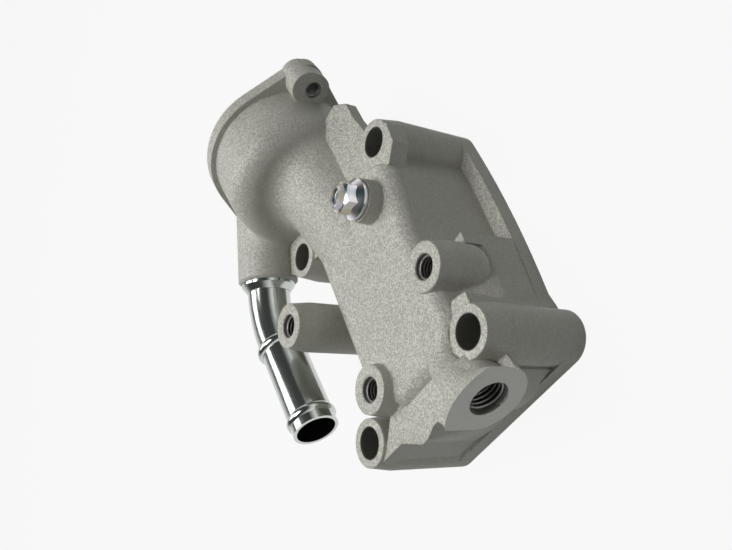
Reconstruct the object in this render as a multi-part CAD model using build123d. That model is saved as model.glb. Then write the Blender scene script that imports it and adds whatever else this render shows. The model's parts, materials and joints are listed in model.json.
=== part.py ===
from build123d import *
from math import cos, radians, sin, sqrt, tan
import os

# Cast aluminium coolant outlet housing, in millimetres.
# The origin is the centre of the four through bolts, on the machined face that seats on the engine.
# +Z leaves the engine, +Y runs towards the hose chamber.

# Seating flange and its four through bolts
bolt_span_x = 58.5
bolt_span_y = 83.0
bolt_hole_radius = 5.25
bolt_boss_height = 39.0
flange_thickness = 6.0
flange_waist_inset = 5.8
flange_edge_bow = 1.7
edge_rounding = 2.0

# Round bosses, all with the same machined ring and the same draft below it
boss_radius = 8.0
boss_draft = 1.0
boss_draft_length = 8.0

# Blind M8 bosses for the parts that bolt on in front
m8_radius = 4.0
m8_depth = 17.0
m8_mouth = 0.5
right_boss_at = (27.2, -15.3)
right_boss_height = 41.7
right_boss_foot = 19.5
right_boss_toe = 6.0
lower_boss_at = (-13.5, -31.6)
lower_boss_height = 44.3
lower_boss_inner_foot = 21.0
left_boss_at = (-31.5, 7.9)
left_boss_height = 53.7
left_web_height = 34.0
left_web_thickness = 9.0

# Water box: the hollow body between the seating face and its crowned front
wall = 5.0
crown_height = 41.0
crown_rounding = 5.0
plan_rounding = 6.0
inner_rounding = 4.0
crown_outline = [
    (-19.0, 40.0),
    (29.5, 40.0),
    (31.0, 25.0),
    (26.3, 1.0),
    (26.0, -33.0),
    (20.0, -42.0),
    (-8.0, -42.0),
    (-19.0, -22.0),
]
foot_outline = [
    (-26.0, 42.0),
    (32.0, 42.0),
    (32.8, 25.0),
    (31.5, 0.0),
    (33.5, -33.0),
    (27.0, -48.0),
    (-15.0, -49.0),
    (-26.0, -24.0),
]

upper_corner_outline = [
    (12.0, 45.0),
    (15.0, 40.5),
    (22.0, 34.0),
    (36.0, 26.5),
    (36.0, 45.0),
]

# Pad of the upper right bolt, level with its ring
upper_pad_depth = 7.0
upper_pad_outline = [
    (29.0, 50.0),
    (23.0, 46.2),
    (17.9, 41.1),
    (20.4, 35.5),
    (31.0, 28.2),
    (37.0, 33.0),
    (38.0, 41.5),
]

# Shoulder beside the right boss, flush with the flange edge and leaning in above
shoulder_height = 20.0
shoulder_top = (35.9, -6.0)
shoulder_top_width = 1.0
shoulder_step_height = 28.0
shoulder_step_outline = [
    (28.0, -6.0),
    (35.4, -6.0),
    (35.1, -10.4),
]

# Deck between the lower bosses and the sensor port
deck_height = 38.0
deck_outline = [
    (-14.0, -38.0),
    (-21.0, -45.0),
    (-27.0, -49.9),
    (-15.5, -50.2),
    (-6.8, -55.9),
    (-4.0, -55.9),
    (-1.6, -55.0),
    (0.7, -54.1),
    (2.9, -54.2),
    (4.1, -55.6),
    (4.6, -58.0),
    (10.5, -60.2),
    (24.0, -50.0),
    (24.0, -38.0),
]
deck_foot_outline = [
    (-14.0, -38.0),
    (-21.0, -45.0),
    (-27.0, -49.6),
    (-15.5, -49.6),
    (-6.8, -49.6),
    (-4.0, -49.6),
    (-1.6, -49.6),
    (0.7, -49.6),
    (2.9, -49.6),
    (4.1, -49.6),
    (4.6, -49.7),
    (10.5, -49.7),
    (24.0, -49.6),
    (24.0, -38.0),
]
corner_ledge_outline = [
    (34.2, -30.6),
    (28.1, -29.0),
    (24.8, -32.9),
    (20.7, -35.2),
    (19.7, -38.0),
    (19.7, -46.0),
    (33.0, -46.0),
]
corner_ledge_draft = 2.0

# Sensor port, M12 x 1.5, machined square to the duct
port_at = (21.4, -58.8, 34.4)
port_radius = 6.0
port_mouth = 0.3
port_thread_depth = 12.0
port_passage_radius = 4.0
port_passage_drop = 2.5
port_passage_depth = 28.0
port_boss_drop = 12.4
port_ridge_drop = 11.0
port_collar_length = 8.0
port_neck_depth = 6.0
port_ridge_end_depth = 24.5

# Ends of the collar's sloping top, across and up on the port face
port_collar_top = [(-20.0, 5.0), (20.0, -6.0)]

# Left, middle and right points of the arch on top of each section of the port boss, across and up
port_face_arch = [(-11.85, 9.3), (-3.5, 12.2), (11.85, 7.2)]
port_neck_arch = [(-6.0, 8.8), (-1.0, 10.6), (5.0, 6.5)]
port_ridge_arch = [(-10.0, 2.5), (-5.0, 5.0), (0.0, 2.5)]

# Duct that rises from the water box to the hose chamber
duct_angle = 12.5
duct_radius = 19.5
duct_wall = 4.5
duct_rise = 20.0
duct_bend_at = (-4.8, 19.8, 21.3)
duct_bend_radius = 80.0
duct_lead = 14.2
duct_length = 53.5
duct_root = 7.0

# Hose chamber and its two-eared flange
chamber_across = 4.0
chamber_height = 42.3
chamber_radius = 28.0
chamber_wall = 4.5
chamber_back = 57.0
chamber_face = 90.0
chamber_back_rounding = 9.0
seat_radius = 27.0
seat_depth = 3.0
chamber_flange_radius = 30.0
chamber_flange_thickness = 6.0
ear_reach = 32.7
ear_angle = 5.0
ear_radius = 6.9
ear_boss_radius = 6.4
ear_boss_length = 14.0
ear_boss_lift = 2.2
m6_radius = 3.0

# Thin sloping lug between the upper right bolt and the chamber
lug_thickness = 4.0
lug_at = (16.4, 67.3, 44.0)
lug_slope = (0.319, -0.182, 1.0)
lug_outline = [
    (10.0, 64.0),
    (16.5, 67.4),
    (22.9, 69.3),
    (26.8, 65.8),
    (26.2, 58.5),
    (27.0, 48.0),
    (22.0, 38.0),
    (12.0, 38.0),
]

# Bracket plate round the upper left bolt
bracket_thickness = 9.0
bracket_outline = [
    (-18.0, 54.0),
    (-36.1, 53.9),
    (-40.9, 43.0),
    (-36.8, 38.5),
    (-18.0, 34.0),
]

# Bleed screw on the crown, M6 with a hexagon flange head
bleed_at = (17.9, 22.6)
bleed_boss_radius = 7.5
bleed_boss_height = 46.3
bleed_clearance = 0.1
bleed_shank_length = 14.0
bleed_flange_radius = 7.1
bleed_flange_thickness = 1.4
bleed_hexagon_flats = 10.0
bleed_head_height = 6.6
bleed_corner_radius = 6.0
bleed_crown_radius = 4.5
bleed_chamfer_drop = 1.0
bleed_dish_radius = 3.4
bleed_dish_depth = 0.6
washer_radius = 6.6
washer_thickness = 1.2

# Heater spigot: a beaded steel pipe pressed into a boss on the chamber
pipe_end_at = (-51.76, 46.5, 42.3)
pipe_boss_yaw = -116.0
pipe_run_yaw = -85.8
pipe_run_pitch = -2.2
pipe_radius = 8.5
pipe_wall = 1.2
pipe_lead = 1.0
pipe_bend_radius = 48.0
pipe_run_length = 42.1
pipe_insert_length = 14.0
pipe_press_clearance = 0.02
pipe_passage_radius = 6.8
pipe_passage_length = 32.0
pipe_boss_radius = 12.0
pipe_boss_length = 30.0
pipe_boss_chamfer = 1.0
pipe_boss_root = 3.0
collar_radius = 10.7
collar_width = 3.6
collar_land = 1.2
collar_lip = 0.4
middle_bead_from = 3.5
middle_bead_radius = 9.9
end_bead_radius = 9.4
bead_width = 4.0
end_bead_inset = 5.0

boss_root_radius = boss_radius + boss_draft
bolt_x = bolt_span_x / 2
bolt_y = bolt_span_y / 2
bolt_places = [(bolt_x, bolt_y), (-bolt_x, bolt_y), (-bolt_x, -bolt_y), (bolt_x, -bolt_y)]
across = Vector(cos(radians(duct_angle)), sin(radians(duct_angle)), 0)
along = Vector(-sin(radians(duct_angle)), cos(radians(duct_angle)), 0)


def direction(yaw, pitch=0.0):
    """Unit vector from a compass angle about +Z and a rise above the XY plane."""
    flat = cos(radians(pitch))
    return Vector(cos(radians(yaw)) * flat, sin(radians(yaw)) * flat, sin(radians(pitch)))


def turned(points, plane=Plane.XY):
    """Solid of revolution about the plane's normal, from (radius, height) points."""
    outline = [(radius, 0, height) for radius, height in points]
    profile = make_face(Polyline(*outline, close=True))
    return plane * revolve(profile, Axis.Z)


def blended(first, second, radius):
    """Two forms joined, with the crease between them rounded."""
    joined = first + second
    return fillet(new_edges(first, second, combined=joined), radius)


def slab(points, bottom, top):
    """Straight prism on a plan outline between two heights."""
    face = make_face(Polyline(*points, close=True))
    return Pos(0, 0, bottom) * extrude(face, top - bottom)


def rounded_face(points, height, radius, inset=0.0):
    """Plan outline at a height, set in from its points by an even inset, with rounded corners."""
    face = make_face(Polyline(*points, close=True))
    if inset > 0:
        face = offset(face, -inset, kind=Kind.INTERSECTION)
    face = fillet(face.vertices(), radius)
    return Pos(0, 0, height) * face


def chamber_plane(reach):
    """Plane square to the duct axis at a distance along it, with X across and Z along."""
    origin = across * chamber_across + along * reach + Vector(0, 0, chamber_height)
    return Plane(origin=origin, x_dir=across, z_dir=along)


def boss(place, height, foot=0.0, toe=0.0):
    """Drafted round boss that stands on a foot height, its lower rim rounded by the toe radius."""
    points = [
        (0, foot),
        (boss_root_radius, foot),
        (boss_root_radius, height - boss_draft_length),
        (boss_radius, height),
        (0, height),
    ]
    solid = turned(points)
    if toe > 0:
        solid = fillet(solid.edges().sort_by(Axis.Z)[0], toe)
    return Pos(*place, 0) * solid


def flange():
    """Seating flange: bolt lobes joined by a plate with one bowed edge."""
    right = bolt_x + boss_root_radius
    waist = right - flange_waist_inset
    waist_y = -bolt_y + boss_root_radius + edge_rounding
    middle = ((right + waist) / 2 + flange_edge_bow, (bolt_y + waist_y) / 2)
    edge = ThreePointArc((right, bolt_y), middle, (waist, waist_y))
    low = -bolt_y - boss_root_radius
    rest = Polyline(
        (waist, waist_y),
        (bolt_x, -bolt_y),
        (bolt_x, low),
        (-bolt_x, low),
        (-bolt_x - boss_root_radius, -bolt_y),
        (-bolt_x - boss_root_radius, bolt_y),
        (-bolt_x, -low),
        (bolt_x, -low),
        (right, bolt_y),
    )
    plate = make_face(edge + rest)
    for place in bolt_places:
        plate += Pos(*place) * Circle(boss_root_radius)
    plate += Pos(*left_boss_at) * Circle(boss_root_radius)
    return extrude(plate, flange_thickness)


def water_box():
    """Drafted body with a rounded crown."""
    foot = rounded_face(foot_outline, 0, plan_rounding)
    crown = rounded_face(crown_outline, crown_height, plan_rounding)
    body = loft([foot, crown])
    rim = body.faces().sort_by(Axis.Z)[-1].edges()
    return fillet(rim, crown_rounding)


def water_space():
    """Hollow of the water box, open at the seating face, with the bosses left standing in it."""
    foot = rounded_face(foot_outline, 0, inner_rounding, wall)
    crown = rounded_face(crown_outline, crown_height - wall, inner_rounding, wall)
    space = loft([foot, crown])
    for place in bolt_places:
        space -= boss(place, crown_height)
    space -= boss(lower_boss_at, lower_boss_height, lower_boss_inner_foot)
    space -= boss(right_boss_at, right_boss_height, right_boss_foot)
    return space


def deck():
    """Deck that carries the lower bosses, with a skirt that runs down to the flange."""
    top = make_face(Polyline(*deck_outline, close=True))
    foot = make_face(Polyline(*deck_foot_outline, close=True))
    skirt = loft([foot, Pos(0, 0, deck_height) * top], ruled=True)
    ledge = make_face(Polyline(*corner_ledge_outline, close=True))
    ledge_foot = offset(ledge, -corner_ledge_draft, kind=Kind.INTERSECTION)
    return skirt + loft([ledge_foot, Pos(0, 0, deck_height) * ledge], ruled=True)


def shoulder():
    """Wall beside the right boss: flush with the flange edge below, leaning in towards the crown."""
    inner = bolt_x - wall
    waist = bolt_x + boss_root_radius - flange_waist_inset
    end, start = -bolt_y, shoulder_top[1]
    bend = -bolt_y + boss_root_radius + edge_rounding
    edge = [(inner, start), shoulder_top, (waist, bend), (waist, end), (inner, end)]
    top = inner + shoulder_top_width
    ridge = [(inner, start), (top, start), (top, bend), (top, end), (inner, end)]
    low = make_face(Polyline(*edge, close=True))
    high = make_face(Polyline(*ridge, close=True))
    lean = loft([Pos(0, 0, shoulder_height) * low, Pos(0, 0, deck_height) * high], ruled=True)
    wall_part = extrude(low, shoulder_height)
    return wall_part + lean + slab(shoulder_step_outline, 0, shoulder_step_height)


def left_web():
    """Web from the tall left boss to the body."""
    x, y = left_boss_at
    half = left_web_thickness / 2
    return slab([(x, y - half), (x, y + half), (0, y + half), (0, y - half)], 0, left_web_height)


def arched_face(arch, drop):
    """Section of the port boss: round below, straight sides and a low arch on top."""
    left, peak, right = arch
    half = (right[0] - left[0]) / 2
    middle = left[0] + half
    low = half - drop
    top = ThreePointArc(left, peak, right)
    side = Line(right, (right[0], low))
    bottom = ThreePointArc((right[0], low), (middle, -drop), (left[0], low))
    other = Line((left[0], low), left)
    return make_face(top + side + bottom + other)


def port_plane(depth=0.0):
    """Plane at a depth behind the machined port face, with Z leaving it."""
    return Plane(origin=port_at, x_dir=across, z_dir=-along).offset(-depth)


def port_boss():
    """Collar behind the port face, and the narrower ridge that falls from it to the crown."""
    left, right = port_collar_top
    low = -2 * port_boss_drop
    below = make_face(Polyline(left, right, (right[0], low), (left[0], low), close=True))
    round_part = arched_face(port_face_arch, port_boss_drop) & below
    collar = port_plane() * extrude(round_part, -port_collar_length)
    face = port_plane() * arched_face(port_face_arch, port_ridge_drop)
    neck = port_plane(port_neck_depth) * arched_face(port_neck_arch, port_ridge_drop)
    end = port_plane(port_ridge_end_depth) * arched_face(port_ridge_arch, port_ridge_drop)
    return collar + loft([face, neck], ruled=True) + loft([neck, end], ruled=True)


def duct(radius):
    """Tube that leaves the crown level and bends up to the chamber."""
    corner = Vector(*duct_bend_at)
    start = corner - direction(90.0) * duct_lead
    end = corner + direction(90.0, duct_rise) * duct_length
    path = FilletPolyline(start, corner, end, radius=duct_bend_radius)
    return sweep((path ^ 0) * Circle(radius), path=path)


def chamber():
    """Round chamber with a rounded closed end."""
    depth = chamber_face - chamber_back
    corner = chamber_back_rounding
    side = Line((chamber_radius, 0, corner), (chamber_radius, 0, depth))
    rim = Line((chamber_radius, 0, depth), (0, 0, depth))
    axis = Line((0, 0, depth), (0, 0, 0))
    base = Line((0, 0, 0), (chamber_radius - corner, 0, 0))
    turn = corner * sqrt(0.5)
    middle = (chamber_radius - corner + turn, 0, corner - turn)
    round_end = ThreePointArc((chamber_radius - corner, 0, 0), middle, (chamber_radius, 0, corner))
    profile = make_face(side + rim + axis + base + round_end)
    return chamber_plane(chamber_back) * revolve(profile, Axis.Z)


def ear_places():
    """Ear hole centres in the chamber plane, where Y points down."""
    x = ear_reach * cos(radians(ear_angle))
    y = -ear_reach * sin(radians(ear_angle))
    return [(x, y), (-x, -y)]


def chamber_flange():
    """Rhombic flange: a disc, two ears and the tangent plate that joins them."""
    discs = [Pos(*place) * Circle(ear_radius) for place in ear_places()]
    ring = Circle(chamber_flange_radius)
    outline = make_hull(ring.edges() + discs[0].edges() + discs[1].edges())
    plane = chamber_plane(chamber_face)
    plate = plane * extrude(outline, -chamber_flange_thickness)
    for x, y in ear_places():
        low = Pos(x, y) * Circle(ear_boss_radius)
        high = Pos(x, y - ear_boss_lift) * Circle(ear_boss_radius)
        plate += plane * extrude(make_hull(low.edges() + high.edges()), -ear_boss_length)
    return plate


def chamber_space():
    """Inside of the chamber with the seat at its mouth."""
    inner = chamber_radius - chamber_wall
    depth = chamber_face - chamber_back
    points = [
        (0, chamber_wall),
        (inner - chamber_wall, chamber_wall),
        (inner, 2 * chamber_wall),
        (inner, depth - seat_depth),
        (seat_radius, depth - seat_depth),
        (seat_radius, depth),
        (0, depth),
    ]
    return turned(points, chamber_plane(chamber_back))


def lug():
    """Sloping plate from the upper right pad up to the side of the chamber."""
    plate = extrude(Rectangle(chamber_face, chamber_face), -lug_thickness)
    outline = slab(lug_outline, 0, chamber_height + lug_thickness)
    return outline & Plane(origin=lug_at, z_dir=lug_slope) * plate


def hose_end():
    """Duct, chamber and pipe boss with rounded creases, and the hose flange."""
    body = blended(duct(duct_radius), chamber(), duct_root)
    return blended(body, pipe_boss(), pipe_boss_root) + chamber_flange()


def pipe_boss_plane():
    """Plane on the end face of the pipe boss, with Z along the boss."""
    return Plane(origin=pipe_end_at, x_dir=(0, 0, 1), z_dir=direction(pipe_boss_yaw))


def pipe_boss():
    """Boss that carries the heater spigot, with a chamfered end."""
    points = [
        (0, -pipe_boss_length),
        (pipe_boss_radius, -pipe_boss_length),
        (pipe_boss_radius, -pipe_boss_chamfer),
        (pipe_boss_radius - pipe_boss_chamfer, 0),
        (0, 0),
    ]
    return turned(points, pipe_boss_plane())


def threaded_hole(place, height, radius, depth, mouth):
    """Blind tapped hole: a bore of the thread's outer radius, a chamfered mouth and a drill tip."""
    points = [
        (0, height),
        (radius + mouth, height),
        (radius, height - mouth),
        (radius, height - depth),
        (0, height - depth - radius / 2),
    ]
    return Pos(*place, 0) * turned(points)


def port_hole():
    """Tapped hole of the sensor port, open to the water box."""
    points = [
        (0, 0),
        (port_radius + port_mouth, 0),
        (port_radius, -port_mouth),
        (port_radius, -port_thread_depth),
        (0, -port_thread_depth),
    ]
    passage = Pos(0, -port_passage_drop) * extrude(Circle(port_passage_radius), -port_passage_depth)
    return turned(points, port_plane()) + port_plane() * passage


def pipe_bore():
    """Seat that the pipe is pressed into, and the passage on into the chamber."""
    seat = pipe_radius + pipe_press_clearance
    points = [
        (0, 0),
        (seat, 0),
        (seat, -pipe_insert_length),
        (pipe_passage_radius, -pipe_insert_length),
        (pipe_passage_radius, -pipe_passage_length),
        (0, -pipe_passage_length),
    ]
    return turned(points, pipe_boss_plane())


def housing():
    """The casting: outside forms first, then the water spaces, then the drilled holes."""
    body = flange() + water_box() + deck() + shoulder() + left_web()
    body -= slab(upper_corner_outline, deck_height, crown_height)
    body += slab(upper_pad_outline, bolt_boss_height - upper_pad_depth, bolt_boss_height)
    body += slab(bracket_outline, deck_height - bracket_thickness, deck_height)
    body += lug()
    for place in bolt_places:
        body += boss(place, bolt_boss_height)
    body += boss(right_boss_at, right_boss_height, right_boss_foot, right_boss_toe)
    body += boss(lower_boss_at, lower_boss_height)
    body += boss(left_boss_at, left_boss_height)
    body += Pos(*bleed_at, 0) * extrude(Circle(bleed_boss_radius), bleed_boss_height)
    body += port_boss() + hose_end()

    body -= water_space()
    body -= duct(duct_radius - duct_wall)
    body -= chamber_space()

    for place in bolt_places:
        body -= Pos(*place, 0) * extrude(Circle(bolt_hole_radius), bolt_boss_height)
        body -= Pos(*place, bolt_boss_height) * extrude(Circle(boss_radius), crown_height)
    body -= threaded_hole(right_boss_at, right_boss_height, m8_radius, m8_depth, m8_mouth)
    body -= threaded_hole(lower_boss_at, lower_boss_height, m8_radius, m8_depth, m8_mouth)
    body -= threaded_hole(left_boss_at, left_boss_height, m8_radius, m8_depth, m8_mouth)
    body -= Pos(*bleed_at, 0) * extrude(Circle(m6_radius), bleed_boss_height)
    for place in ear_places():
        body -= chamber_plane(chamber_face) * Pos(*place) * extrude(Circle(m6_radius), -ear_boss_length)
    body -= port_hole()
    body -= pipe_bore()
    return body


def pipe_path():
    """Centreline of the spigot: into the boss, one bend, and the run to the hose end."""
    start = Vector(*pipe_end_at)
    first = direction(pipe_boss_yaw)
    second = direction(pipe_run_yaw, pipe_run_pitch)
    turn = radians(first.get_angle(second))
    corner = start + first * (pipe_lead + pipe_bend_radius * tan(turn / 2))
    end = corner + second * (pipe_bend_radius * tan(turn / 2) + pipe_run_length)
    return FilletPolyline(start - first * pipe_insert_length, corner, end, radius=pipe_bend_radius)


def bead(centre, axis, radius, width):
    """Rolled bead: a rounded ring round the pipe."""
    inner = pipe_radius - pipe_wall / 2
    half = width / 2
    side = Line((inner, 0, -half), (inner, 0, half))
    round_side = ThreePointArc((inner, 0, half), (radius, 0, 0), (inner, 0, -half))
    ring = revolve(make_face(side + round_side), Axis.Z)
    return Plane(origin=centre, z_dir=axis) * ring


def pipe_collar(axis):
    """Stop collar at the boss, tapering to the pipe."""
    points = [
        (pipe_radius - pipe_wall / 2, 0),
        (collar_radius, 0),
        (collar_radius, collar_land),
        (pipe_radius + collar_lip, collar_width),
        (pipe_radius - pipe_wall / 2, collar_width),
    ]
    return turned(points, Plane(origin=pipe_end_at, z_dir=axis))


def heater_pipe():
    """Bent steel pipe with a collar at the boss and two beads on the run."""
    path = pipe_path()
    tube = Circle(pipe_radius) - Circle(pipe_radius - pipe_wall)
    pipe = sweep((path ^ 0) * tube, path=path)
    first = direction(pipe_boss_yaw)
    second = direction(pipe_run_yaw, pipe_run_pitch)
    end = path @ 1
    pipe += pipe_collar(first)
    middle = end - second * (pipe_run_length - middle_bead_from)
    pipe += bead(middle, second, middle_bead_radius, bead_width)
    pipe += bead(end - second * end_bead_inset, second, end_bead_radius, bead_width)
    return pipe


def bleed_washer():
    """Sealing washer between the boss and the head."""
    ring = Circle(washer_radius) - Circle(m6_radius + bleed_clearance)
    return Pos(*bleed_at, bleed_boss_height) * extrude(ring, washer_thickness)


def bleed_bolt():
    """Hexagon flange screw: shank, washer face and head."""
    seat = bleed_boss_height + washer_thickness
    shank = extrude(Circle(m6_radius - bleed_clearance), -bleed_shank_length)
    collar = turned([
        (0, 0),
        (bleed_flange_radius, 0),
        (bleed_flange_radius, bleed_flange_thickness / 2),
        (bleed_hexagon_flats / 2, 2 * bleed_flange_thickness),
        (0, 2 * bleed_flange_thickness),
    ])
    head = extrude(RegularPolygon(bleed_hexagon_flats / 2, 6, major_radius=False), bleed_head_height)
    dome = turned([
        (0, 0),
        (bleed_corner_radius, 0),
        (bleed_corner_radius, bleed_head_height - bleed_chamfer_drop),
        (bleed_crown_radius, bleed_head_height),
        (0, bleed_head_height),
    ])
    dish = turned([
        (0, bleed_head_height - bleed_dish_depth),
        (bleed_dish_radius - bleed_dish_depth, bleed_head_height - bleed_dish_depth),
        (bleed_dish_radius, bleed_head_height),
        (0, bleed_head_height),
    ])
    return Pos(*bleed_at, seat) * (shank + collar + (head & dome) - dish)


os.makedirs("parts", exist_ok=True)
export_step(housing(), "parts/housing.step")
export_step(heater_pipe(), "parts/heater_pipe.step")
export_step(bleed_bolt(), "parts/bleed_bolt.step")
export_step(bleed_washer(), "parts/bleed_washer.step")
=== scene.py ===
"""Finish and stage for a cast aluminium coolant outlet housing with a heater pipe and a bleed screw."""

import json
import math

import bmesh
import bpy
from bpy.props import FloatProperty, FloatVectorProperty, IntProperty, PointerProperty
from mathutils import Matrix, Vector


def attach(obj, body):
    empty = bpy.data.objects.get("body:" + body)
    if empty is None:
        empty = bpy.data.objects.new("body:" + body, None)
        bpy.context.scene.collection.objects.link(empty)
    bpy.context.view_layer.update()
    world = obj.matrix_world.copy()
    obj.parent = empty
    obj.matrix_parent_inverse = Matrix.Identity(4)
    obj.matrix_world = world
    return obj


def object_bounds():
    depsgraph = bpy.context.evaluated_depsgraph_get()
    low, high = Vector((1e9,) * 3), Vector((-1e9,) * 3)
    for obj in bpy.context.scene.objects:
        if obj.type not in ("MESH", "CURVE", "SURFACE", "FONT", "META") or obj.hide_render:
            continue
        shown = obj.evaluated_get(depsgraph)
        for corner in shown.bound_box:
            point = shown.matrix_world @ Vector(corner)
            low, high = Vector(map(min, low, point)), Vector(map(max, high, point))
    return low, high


bl_info = {
    "name": "Coolant outlet housing",
    "version": (1, 0, 0),
    "blender": (4, 5, 0),
    "location": "View3D > Sidebar > Outlet",
    "description": "Finishes a cast coolant outlet housing, cuts its threads and sets it on a stage",
    "category": "Object",
}

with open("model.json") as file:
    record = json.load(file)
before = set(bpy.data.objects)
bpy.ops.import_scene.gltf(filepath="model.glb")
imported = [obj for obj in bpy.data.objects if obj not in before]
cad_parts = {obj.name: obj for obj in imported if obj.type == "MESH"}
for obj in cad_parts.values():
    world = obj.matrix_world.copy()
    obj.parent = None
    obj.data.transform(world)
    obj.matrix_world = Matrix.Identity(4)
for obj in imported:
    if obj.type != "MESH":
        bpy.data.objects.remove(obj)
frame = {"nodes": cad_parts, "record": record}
CAD_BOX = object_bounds()
NODES = frame["nodes"]
MOUNTS = {mount["name"]: mount for mount in frame["record"]["mounts"]}
BODY = "root"
# Stage: colours and strengths, and lamps as name, place, side and power
SEEN_RAYS = ("Is Camera Ray", "Is Glossy Ray", "Is Transmission Ray")
WHITE = (1.0, 1.0, 1.0, 1.0)
FLOOR_PAINT = (0.30, 0.30, 0.30, 1.0)
FLOOR_GAP = 0.0001
AIR = 0.06
STUDIO_WHITE = 0.92
STUDIO_DARK = 0.06
WALL_TOP = 0.20
CEILING = 0.55
LAMPS = (
    ("top softbox", (-0.01, 0.02, 0.93), 0.50, 4.7),
    ("left softbox", (-0.43, 0.29, 0.77), 0.50, 2.3),
)

# Machining marks: how near a point lies to a face or a hole's wall to count as cut
TOUCH = 0.0002
WHOLE_FACE = 0.2
PORT_FACE = 0.02
PORT_MOUTH = 0.0003
# Painted shade inside the holes: their walls are darkened towards this colour, by the share on the next line
BORE_SHADE_COLOR = (0.16, 0.155, 0.14, 1.0)
BORE_SHADE = 0.8

# Threads: depth, half width at the wall and half width at the crest, as shares of the pitch
TAPPED = (
    "right_boss_thread",
    "lower_boss_thread",
    "left_boss_thread",
    "sensor_port",
    "high_ear_thread",
    "low_ear_thread",
)
THREAD_START = Vector((0.6, -0.5, 0.6))
THREAD_DEPTH = 0.54
THREAD_FLANK = 0.42
THREAD_LAND = 0.07

# Cast web round the sensor port, measured back from its face and up from the side next to the bolt boss
WEB_FRONT = 0.0006
WEB_BACK = 0.0121
WEB_STEP = math.radians(4)
WALL_HEIGHT = 0.0008
SADDLE_BACK_HEIGHT = 0.0011
SADDLE_START = math.radians(-15)
SADDLE_SWEEP = math.radians(100)
FULL_TURN = 2 * math.pi

# Distances that keep one surface clear of another, and that merge doubled vertices
SKIN_GAP = 0.00002
MERGE = 1e-7


def mount_place(name):
    """Centre of a mount, in metres."""
    return Vector(MOUNTS[name]["pos_m"])


def mount_axis(name):
    """Unit direction in which the mating part leaves."""
    return Vector(MOUNTS[name]["axis"]).normalized()


def mount_radius(name):
    """Wall radius of a round mount, in metres."""
    return MOUNTS[name]["dims"]["r_mm"] / 1000


def mount_length(name):
    """Length of a round mount's wall, in metres."""
    return MOUNTS[name]["dims"]["length_mm"] / 1000


def port_face_middle():
    """Centre of the sensor port's face."""
    reach = mount_length("sensor_port") / 2 + PORT_MOUTH
    return mount_place("sensor_port") + mount_axis("sensor_port") * reach


class Signal:
    """A shader value that answers to arithmetic by adding Math nodes."""

    def __init__(self, graph, socket):
        self.graph = graph
        self.socket = socket

    def _math(self, operation, *values):
        return self.graph.add("ShaderNodeMath", {"operation": operation}, dict(enumerate(values)))

    def __add__(self, other):
        return self._math("ADD", self, other)

    __radd__ = __add__

    def __sub__(self, other):
        return self._math("SUBTRACT", self, other)

    def __rsub__(self, other):
        return self._math("SUBTRACT", other, self)

    def __mul__(self, other):
        return self._math("MULTIPLY", self, other)

    __rmul__ = __mul__

    def __lt__(self, other):
        return self._math("LESS_THAN", self, other)

    def __or__(self, other):
        return self._math("MAXIMUM", self, other)

    def __abs__(self):
        return self._math("ABSOLUTE", self)


class Graph:
    """Nodes of a material or of the world, with one way to add any node."""

    def __init__(self, tree):
        self.tree = tree

    def add(self, kind, settings=None, sockets=None, output=0):
        """Add a node, apply its settings, then fill its sockets with values or signals."""
        node = self.tree.nodes.new(kind)
        for name, value in (settings or {}).items():
            if name == "stops":
                self._set_stops(node.color_ramp, value)
            else:
                setattr(node, name, value)
        for name, value in (sockets or {}).items():
            self.fill(node.inputs[name], value)
        return Signal(self, node.outputs[output])

    def fill(self, socket, value):
        """Link a signal to a socket, or write a plain value on it."""
        if isinstance(value, Signal):
            self.tree.links.new(value.socket, socket)
        else:
            socket.default_value = value

    def seen(self):
        """One where the camera, a reflection or a view through glass meets the surface."""
        camera, glossy, through = [self.add("ShaderNodeLightPath", output=name) for name in SEEN_RAYS]
        return camera | glossy | through

    @staticmethod
    def _set_stops(ramp, stops):
        while len(ramp.elements) > 1:
            ramp.elements.remove(ramp.elements[-1])
        ramp.elements[0].position, ramp.elements[0].color = stops[0]
        for position, color in stops[1:]:
            ramp.elements.new(position).color = color


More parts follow.
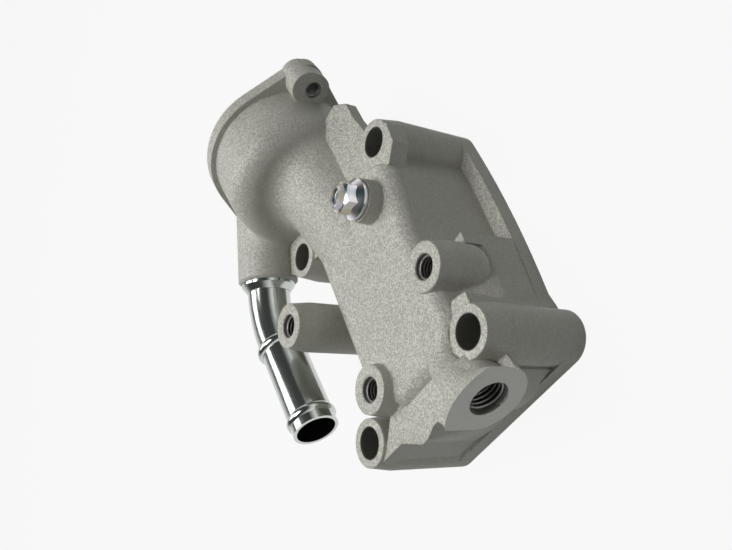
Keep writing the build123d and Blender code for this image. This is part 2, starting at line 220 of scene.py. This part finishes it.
class Finish(Graph):
    """A material under construction."""

    def __init__(self, name):
        self.material = bpy.data.materials.new(name)
        self.material.use_nodes = True
        super().__init__(self.material.node_tree)
        self.shader = self.tree.nodes["Principled BSDF"]
        self.place = self.add("ShaderNodeTexCoord", output="Object")

    def finish(self, **sockets):
        """Fill sockets of the surface shader; an underscore stands for a space."""
        for name, value in sockets.items():
            self.fill(self.shader.inputs[name.replace("_", " ")], value)
        return self.material

    def noise(self, scale, detail=2.0, stretch=None):
        """Cloudy value from 0 to 1 with features of about one over the scale, in metres."""
        place = self.place
        if stretch:
            place = self.add("ShaderNodeMapping", sockets={"Vector": place, "Scale": stretch})
        return self.add("ShaderNodeTexNoise", sockets={"Vector": place, "Scale": scale, "Detail": detail})

    def ramp(self, value, *stops):
        """Greyscale ramp given as (position, level) pairs."""
        colors = [(position, (level, level, level, 1.0)) for position, level in stops]
        return self.add("ShaderNodeValToRGB", {"stops": colors}, {"Fac": value})

    def mix(self, factor, first, second):
        """Colour between two colours."""
        sockets = {0: factor, 6: first, 7: second}
        return self.add("ShaderNodeMix", {"data_type": "RGBA"}, sockets, output=2)

    def offset_from(self, point):
        """Vector from a point of the object to the shaded point."""
        sockets = {0: self.place, 1: tuple(point)}
        return self.add("ShaderNodeVectorMath", {"operation": "SUBTRACT"}, sockets)

    def along(self, vector, axis):
        """Length of a vector along an axis."""
        return self.add("ShaderNodeVectorMath", {"operation": "DOT_PRODUCT"}, {0: vector, 1: tuple(axis)}, "Value")

    def reach(self, vector, axis):
        """Distance of a vector's tip from the line along an axis."""
        cross = self.add("ShaderNodeVectorMath", {"operation": "CROSS_PRODUCT"}, {0: vector, 1: tuple(axis)})
        return self.add("ShaderNodeVectorMath", {"operation": "LENGTH"}, {0: cross}, "Value")

    def disc(self, point, axis, radius):
        """One on a machined disc, zero elsewhere."""
        offset = self.offset_from(point)
        return (abs(self.along(offset, axis)) < TOUCH) * (self.reach(offset, axis) < radius)

    def bore(self, point, axis, radius, length):
        """One on the wall of a hole, zero elsewhere."""
        offset = self.offset_from(point)
        return (self.reach(offset, axis) < radius + TOUCH) * (abs(self.along(offset, axis)) < length / 2 + TOUCH)

    def pores(self, spacing, radius):
        """One on a scatter of round pores at about a spacing, in metres."""
        cells = self.add("ShaderNodeTexVoronoi", sockets={"Vector": self.place, "Scale": 1 / spacing})
        return cells < radius / spacing

    def grains(self, size):
        """Random value for each blasted grain of a size, in metres."""
        sockets = {"Vector": self.place, "Scale": 1 / size}
        return self.add("ShaderNodeTexVoronoi", sockets=sockets, output="Color")

    def facing_up(self):
        """One where the surface faces up, zero on walls."""
        facing = self.along(self.add("ShaderNodeTexCoord", output="Normal"), (0, 0, 1))
        return self.ramp(facing, (0.25, 0.0), (0.85, 1.0))

    def bump(self, height, depth, normal=None):
        """Surface normal of a relief whose height runs from 0 to 1 over a depth in metres."""
        sockets = {"Height": height, "Distance": depth}
        if normal:
            sockets["Normal"] = normal
        return self.add("ShaderNodeBump", sockets=sockets)


class CastingLook(bpy.types.PropertyGroup):
    """Skin of the casting."""

    skin: FloatVectorProperty(
        name="Skin colour",
        description="Blasted aluminium away from any machining",
        subtype="COLOR",
        default=(0.55, 0.547, 0.488),
        min=0.0,
        max=1.0,
    )
    cut: FloatVectorProperty(
        name="Cut colour",
        description="Aluminium where a tool has faced or bored it",
        subtype="COLOR",
        default=(0.78, 0.785, 0.73),
        min=0.0,
        max=1.0,
    )
    grain: FloatProperty(
        name="Grain depth",
        description="Depth of the blasted grain",
        unit="LENGTH",
        default=0.00012,
        min=0.0,
    )
    metal: FloatProperty(
        name="Metal",
        description="How far the skin shines as bare metal",
        default=0.10,
        min=0.0,
        max=1.0,
    )
    saddle: FloatProperty(
        name="Saddle height",
        description="Height of the cast web beside the sensor port, over its threads",
        unit="LENGTH",
        default=0.0032,
        min=0.0005,
    )
    edge: FloatProperty(
        name="Edge radius",
        description="Radius that the mould leaves on edges and in corners",
        unit="LENGTH",
        default=0.0010,
        min=0.0,
    )


class ThreadSizes(bpy.types.PropertyGroup):
    """Pitches of the tapped holes."""

    boss_pitch: FloatProperty(
        name="Boss pitch",
        description="Pitch in the three blind bosses",
        unit="LENGTH",
        default=0.00125,
        min=0.0002,
    )
    port_pitch: FloatProperty(
        name="Port pitch",
        description="Pitch in the sensor port",
        unit="LENGTH",
        default=0.0015,
        min=0.0002,
    )
    ear_pitch: FloatProperty(
        name="Ear pitch",
        description="Pitch in the two ears of the hose flange",
        unit="LENGTH",
        default=0.001,
        min=0.0002,
    )
    facets: IntProperty(
        name="Facets",
        description="Steps in each turn of a thread",
        default=28,
        min=8,
    )


class PlatingLook(bpy.types.PropertyGroup):
    """Plated steel pieces."""

    pipe: FloatVectorProperty(
        name="Pipe colour",
        description="Bright plate on the heater pipe",
        subtype="COLOR",
        default=(0.70, 0.73, 0.70),
        min=0.0,
        max=1.0,
    )
    screw: FloatVectorProperty(
        name="Screw colour",
        description="Clear plate on the bleed screw",
        subtype="COLOR",
        default=(0.84, 0.82, 0.86),
        min=0.0,
        max=1.0,
    )


class StageSizes(bpy.types.PropertyGroup):
    """Floor, lamps and camera."""

    floor: FloatProperty(
        name="Floor width",
        description="Side of the square floor",
        unit="LENGTH",
        default=12.0,
        min=1.0,
    )
    camera_place: FloatVectorProperty(
        name="Camera place",
        description="Where the camera stands",
        subtype="TRANSLATION",
        unit="LENGTH",
        default=(0.15235, -0.14866, 0.18417),
    )
    camera_target: FloatVectorProperty(
        name="Camera target",
        description="Point in the middle of the picture",
        subtype="TRANSLATION",
        unit="LENGTH",
        default=(-0.01012, 0.01625, 0.02935),
    )
    camera_roll: FloatProperty(
        name="Camera roll",
        description="Turn of the camera about its line of sight, clockwise",
        subtype="ANGLE",
        default=math.radians(83.39),
    )
    lens: FloatProperty(
        name="Lens",
        description="Focal length on a sensor 36 mm wide",
        default=37.87,
        min=1.0,
    )


def dress(node, material):
    """Give a CAD node its only material."""
    slots = NODES[node].data.materials
    slots.clear()
    slots.append(material)


def make_piece(mesh, name, material):
    """Turn a bmesh into a piece of the object that rides on its body."""
    bmesh.ops.remove_doubles(mesh, verts=mesh.verts, dist=MERGE)
    bmesh.ops.recalc_face_normals(mesh, faces=mesh.faces)
    data = bpy.data.meshes.new(name)
    mesh.to_mesh(data)
    mesh.free()
    data.shade_smooth()
    data.materials.append(material)
    piece = bpy.data.objects.new(name, data)
    bpy.context.scene.collection.objects.link(piece)
    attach(piece, BODY)
    return piece


def faced_area(finish):
    """One on the seating face, the hose face and the port face."""
    up = Vector((0, 0, 1))
    area = finish.disc(mount_place("engine_face"), up, WHOLE_FACE)
    area = area | finish.disc(mount_place("hose_flange_face"), mount_axis("hose_flange_face"), WHOLE_FACE)
    return area | finish.disc(port_face_middle(), mount_axis("sensor_port"), PORT_FACE)


def bored_area(finish):
    """One on the walls of the bolt holes and of the tapped holes."""
    pattern = MOUNTS["engine_bolts"]["dims"]
    half_x = pattern["spacing_x_mm"] / 2000
    half_y = pattern["spacing_y_mm"] / 2000
    hole = pattern["hole_r_mm"] / 1000
    up = Vector((0, 0, 1))
    tall = 2 * CAD_BOX[1].z
    corners = [(x, y, 0) for x in (half_x, -half_x) for y in (half_y, -half_y)]
    area = finish.bore(corners[0], up, hole, tall)
    for corner in corners[1:]:
        area = area | finish.bore(corner, up, hole, tall)
    for name in TAPPED:
        area = area | finish.bore(mount_place(name), mount_axis(name), mount_radius(name), mount_length(name))
    return area


def cast_aluminium(look):
    """Blasted aluminium skin, smoother where it has been faced, with painted shade inside its holes."""
    finish = Finish("cast aluminium")
    faced = faced_area(finish)
    bored = bored_area(finish)
    grain = finish.ramp(finish.grains(0.0004), (0.30, 0.0), (0.70, 1.0))
    grit = finish.noise(900.0, 3.0)
    cloud = finish.noise(45.0, 3.0)
    # Pores are real pits in the relief; the darkening of their colour is painted shade inside them
    pore = finish.pores(0.030, 0.0004)
    # Random tone of the blasted grain, its contrast raised on faces that look up, where it is a painted glint from
    # the lamps above
    grain_and_painted_glint = (grain - 0.5) * (0.14 + 0.36 * finish.facing_up())
    level = 0.79 + 0.24 * grit + 0.20 * cloud + grain_and_painted_glint - 0.4 * pore
    skin = finish.add("ShaderNodeVectorMath", {"operation": "SCALE"}, {0: tuple(look.skin), "Scale": level})
    turning = finish.noise(900.0, 2.0)
    cut_level = 0.92 + 0.16 * turning
    cut = finish.add("ShaderNodeVectorMath", {"operation": "SCALE"}, {0: tuple(look.cut), "Scale": cut_level})
    # Painted shade: the walls of the holes are darkened towards a dark grey
    color = finish.mix(bored * BORE_SHADE, finish.mix(faced, skin, cut), BORE_SHADE_COLOR)
    rounded = finish.add("ShaderNodeBevel", {"samples": 8}, {"Radius": look.edge * (1 - faced)})
    relief = (0.65 * grain + 0.35 * grit) * (1 - 0.9 * faced) - pore
    normal = finish.bump(relief, look.grain, rounded)
    roughness = 0.52 + 0.12 * grit - 0.18 * faced
    return finish.finish(Base_Color=color, Roughness=roughness, Metallic=look.metal, Normal=normal)


def cut_aluminium():
    """Bright aluminium of a tapped thread."""
    finish = Finish("tapped aluminium")
    streak = finish.noise(1400.0, 2.0)
    color = finish.mix(streak, (0.20, 0.195, 0.18, 1.0), (0.44, 0.435, 0.42, 1.0))
    return finish.finish(Base_Color=color, Roughness=0.28 + 0.2 * streak, Metallic=0.6)


def bright_plate(look):
    """Bright plate over drawn tube, with faint lines along it."""
    finish = Finish("bright plate")
    drawn = finish.noise(900.0, 3.0, stretch=(1.0, 0.06, 1.0))
    cloud = finish.noise(70.0, 3.0)
    shade = finish.mix(0.5 * cloud + 0.25 * drawn, (*look.pipe, 1.0), (0.38, 0.41, 0.39, 1.0))
    normal = finish.bump(0.7 * drawn + 0.3 * cloud, 0.00004)
    return finish.finish(Base_Color=shade, Roughness=0.10 + 0.12 * cloud, Metallic=1.0, Normal=normal)


def clear_plate(look):
    """Clear plate that turns teal and straw in places."""
    finish = Finish("clear plate")
    teal = finish.ramp(finish.noise(150.0, 0.0), (0.50, 0.0), (0.60, 0.85))
    color = finish.mix(teal, (*look.screw, 1.0), (0.34, 0.44, 0.46, 1.0))
    straw = finish.ramp(finish.noise(210.0, 0.0), (0.52, 0.0), (0.64, 0.7))
    color = finish.mix(straw, color, (0.74, 0.64, 0.46, 1.0))
    haze = finish.noise(300.0, 0.0)
    return finish.finish(Base_Color=color, Roughness=0.20 + 0.08 * haze, Metallic=1.0)


def soft_aluminium():
    """Plain stamped aluminium."""
    finish = Finish("washer aluminium")
    grain = finish.noise(1200.0, 2.0)
    color = finish.mix(grain, (0.50, 0.50, 0.48, 1.0), (0.66, 0.66, 0.64, 1.0))
    return finish.finish(Base_Color=color, Roughness=0.35 + 0.2 * grain, Metallic=0.9)


def thread_ridge(name, pitch, facets):
    """Helical ridge that stands on the wall of a tapped hole, in a bmesh."""
    wall = mount_radius(name) + 2 * SKIN_GAP
    crest = mount_radius(name) - THREAD_DEPTH * pitch
    turns = math.floor((mount_length(name) - pitch) / pitch)
    flank = THREAD_FLANK * pitch
    land = THREAD_LAND * pitch
    mesh = bmesh.new()
    outline = [(wall, -flank), (crest, -land), (crest, land), (wall, flank)]
    corners = [mesh.verts.new((radius, 0, height)) for radius, height in outline]
    section = mesh.faces.new(corners)
    geometry = corners + list(section.edges) + [section]
    bmesh.ops.spin(
        mesh,
        geom=geometry,
        axis=(0, 0, 1),
        dvec=(0, 0, pitch / facets),
        angle=2 * math.pi * turns,
        steps=facets * turns,
    )
    start = Matrix.Translation((0, 0, -turns * pitch / 2))
    axis = mount_axis(name)
    across = (THREAD_START - axis * THREAD_START.dot(axis)).normalized()
    turn = Matrix((across, axis.cross(across), axis)).transposed().to_4x4()
    place = Matrix.Translation(mount_place(name)) @ turn @ start
    bmesh.ops.transform(mesh, matrix=place, verts=mesh.verts)
    return mesh


def port_web(height, back_height, start, sweep):
    """Cast web outside the sensor port's threads, in a bmesh; a full turn closes on itself."""
    axis = mount_axis("sensor_port")
    face = port_face_middle()
    across = Vector((0, 0, 1)).cross(axis).normalized()
    wall = mount_radius("sensor_port") + SKIN_GAP
    mesh = bmesh.new()
    outline = [(wall, WEB_FRONT), (wall + height, WEB_FRONT), (wall + back_height, WEB_BACK), (wall, WEB_BACK)]
    corners = [mesh.verts.new(face + across * radius - axis * depth) for radius, depth in outline]
    section = mesh.faces.new(corners)
    bmesh.ops.rotate(mesh, cent=face, matrix=Matrix.Rotation(start, 3, axis), verts=mesh.verts)
    edges = list(section.edges)
    full = sweep == FULL_TURN
    if full:
        bmesh.ops.delete(mesh, geom=[section], context="FACES_ONLY")
    geometry = corners + edges + ([] if full else [section])
    steps = round(sweep / WEB_STEP)
    bmesh.ops.spin(mesh, geom=geometry, cent=face, axis=axis, angle=sweep, steps=steps, use_merge=full)
    return mesh


def aim(place, target, roll=0.0):
    """Matrix that looks from a place to a target, rolled clockwise about the line of sight."""
    sight = Vector(target) - Vector(place)
    turn = sight.to_track_quat("-Z", "Y").to_matrix().to_4x4()
    return Matrix.Translation(place) @ turn @ Matrix.Rotation(-roll, 4, "Z")


class OUTLET_OT_casting(bpy.types.Operator):
    """Give the casting its blasted skin and machined faces"""

    bl_idname = "outlet.casting"
    bl_label = "Finish the casting"

    def execute(self, context):
        look = context.scene.outlet_casting
        material = cast_aluminium(look)
        dress("housing", material)
        saddle = port_web(look.saddle, SADDLE_BACK_HEIGHT, SADDLE_START, SADDLE_SWEEP)
        wall = port_web(WALL_HEIGHT, WALL_HEIGHT, 0.0, FULL_TURN)
        make_piece(saddle, "port_saddle", material)
        make_piece(wall, "port_wall", material)
        return {"FINISHED"}


class OUTLET_OT_threads(bpy.types.Operator):
    """Cut the threads of the blind bosses, the sensor port and the ears"""

    bl_idname = "outlet.threads"
    bl_label = "Cut the threads"

    def execute(self, context):
        sizes = context.scene.outlet_threads
        pitches = [sizes.boss_pitch] * 3 + [sizes.port_pitch] + [sizes.ear_pitch] * 2
        material = cut_aluminium()
        for name, pitch in zip(TAPPED, pitches):
            make_piece(thread_ridge(name, pitch, sizes.facets), name + "_ridge", material)
        return {"FINISHED"}


class OUTLET_OT_pipe(bpy.types.Operator):
    """Plate the heater pipe"""

    bl_idname = "outlet.pipe"
    bl_label = "Plate the heater pipe"

    def execute(self, context):
        dress("heater_pipe", bright_plate(context.scene.outlet_plating))
        return {"FINISHED"}


class OUTLET_OT_screw(bpy.types.Operator):
    """Plate the bleed screw and finish its washer"""

    bl_idname = "outlet.screw"
    bl_label = "Finish the bleed screw"

    def execute(self, context):
        dress("bleed_bolt", clear_plate(context.scene.outlet_plating))
        dress("bleed_washer", soft_aluminium())
        return {"FINISHED"}


class OUTLET_OT_stage(bpy.types.Operator):
    """Lay the floor, hang the lamps and set up the camera"""

    bl_idname = "outlet.stage"
    bl_label = "Set the stage"

    def execute(self, context):
        sizes = context.scene.outlet_stage
        lay_floor(sizes.floor)
        light_world(context.scene)
        hang_lamps()
        set_camera(context.scene, sizes)
        context.scene.view_settings.view_transform = "Standard"
        return {"FINISHED"}


def lay_floor(width):
    """Pale floor that the camera sees as nearly white."""
    mesh = bmesh.new()
    bmesh.ops.create_grid(mesh, x_segments=1, y_segments=1, size=width / 2)
    bmesh.ops.translate(mesh, vec=(0, 0, CAD_BOX[0].z - FLOOR_GAP), verts=mesh.verts)
    data = bpy.data.meshes.new("floor")
    mesh.to_mesh(data)
    mesh.free()
    floor = bpy.data.objects.new("floor", data)
    bpy.context.scene.collection.objects.link(floor)
    finish = Finish("floor paint")
    finish.finish(Base_Color=FLOOR_PAINT, Roughness=0.9)
    white = finish.add("ShaderNodeEmission", sockets={"Color": WHITE, "Strength": 1.0})
    paint = Signal(finish, finish.shader.outputs[0])
    blend = finish.add("ShaderNodeMixShader", sockets={0: finish.seen() * STUDIO_WHITE, 1: paint, 2: white})
    output = finish.tree.nodes["Material Output"]
    finish.fill(output.inputs["Surface"], blend)
    data.materials.append(finish.material)


def light_world(scene):
    """Soft even air, with pale studio walls and a dim ceiling where they are seen or mirrored."""
    scene.world = bpy.data.worlds.new("studio air")
    scene.world.use_nodes = True
    graph = Graph(scene.world.node_tree)
    background = graph.tree.nodes["Background"]
    graph.fill(background.inputs["Color"], WHITE)
    place = graph.add("ShaderNodeTexCoord", output="Generated")
    height = graph.add("ShaderNodeSeparateXYZ", sockets={0: place}, output="Z")
    fade = {"Value": height, "From Min": WALL_TOP, "From Max": CEILING, "To Min": STUDIO_WHITE, "To Max": STUDIO_DARK}
    walls = graph.add("ShaderNodeMapRange", sockets=fade)
    strength = graph.add("ShaderNodeMix", sockets={"Factor": graph.seen(), "A": AIR, "B": walls})
    graph.fill(background.inputs["Strength"], strength)


def hang_lamps():
    """Large soft lamps above the seating plane."""
    middle = (CAD_BOX[0] + CAD_BOX[1]) / 2
    for name, place, side, power in LAMPS:
        add_lamp(name, Vector(place), middle, side, power)


def add_lamp(name, place, target, side, power):
    """Square area lamp that faces a target."""
    lamp = bpy.data.lights.new(name, "AREA")
    lamp.size = side
    lamp.energy = power
    holder = bpy.data.objects.new(name, lamp)
    holder.matrix_world = aim(place, target)
    bpy.context.scene.collection.objects.link(holder)


def set_camera(scene, sizes):
    """Camera at the picture's own angle."""
    camera = bpy.data.cameras.new("camera")
    camera.sensor_width = 36.0
    camera.lens = sizes.lens
    camera.clip_start = 0.01
    holder = bpy.data.objects.new("camera", camera)
    holder.matrix_world = aim(sizes.camera_place, sizes.camera_target, sizes.camera_roll)
    scene.collection.objects.link(holder)
    scene.camera = holder


class OUTLET_PT_panel(bpy.types.Panel):
    """Sizes and steps of the outlet housing"""

    bl_label = "Outlet housing"
    bl_idname = "OUTLET_PT_panel"
    bl_space_type = "VIEW_3D"
    bl_region_type = "UI"
    bl_category = "Outlet"

    def draw(self, context):
        for group in GROUPS:
            settings = getattr(context.scene, group)
            box = self.layout.box()
            for name in settings.__annotations__:
                box.prop(settings, name)
        for step in STEPS:
            self.layout.operator(step.bl_idname)


GROUPS = {
    "outlet_casting": CastingLook,
    "outlet_threads": ThreadSizes,
    "outlet_plating": PlatingLook,
    "outlet_stage": StageSizes,
}
STEPS = (OUTLET_OT_casting, OUTLET_OT_threads, OUTLET_OT_pipe, OUTLET_OT_screw, OUTLET_OT_stage)


def register():
    for name, group in GROUPS.items():
        bpy.utils.register_class(group)
        setattr(bpy.types.Scene, name, PointerProperty(type=group))
    for step in STEPS:
        bpy.utils.register_class(step)
    bpy.utils.register_class(OUTLET_PT_panel)


def unregister():
    bpy.utils.unregister_class(OUTLET_PT_panel)
    for step in reversed(STEPS):
        bpy.utils.unregister_class(step)
    for name, group in GROUPS.items():
        delattr(bpy.types.Scene, name)
        bpy.utils.unregister_class(group)


def main():
    """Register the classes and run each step."""
    register()
    bpy.ops.outlet.casting()
    bpy.ops.outlet.threads()
    bpy.ops.outlet.pipe()
    bpy.ops.outlet.screw()
    bpy.ops.outlet.stage()


if __name__ == "__main__":
    main()
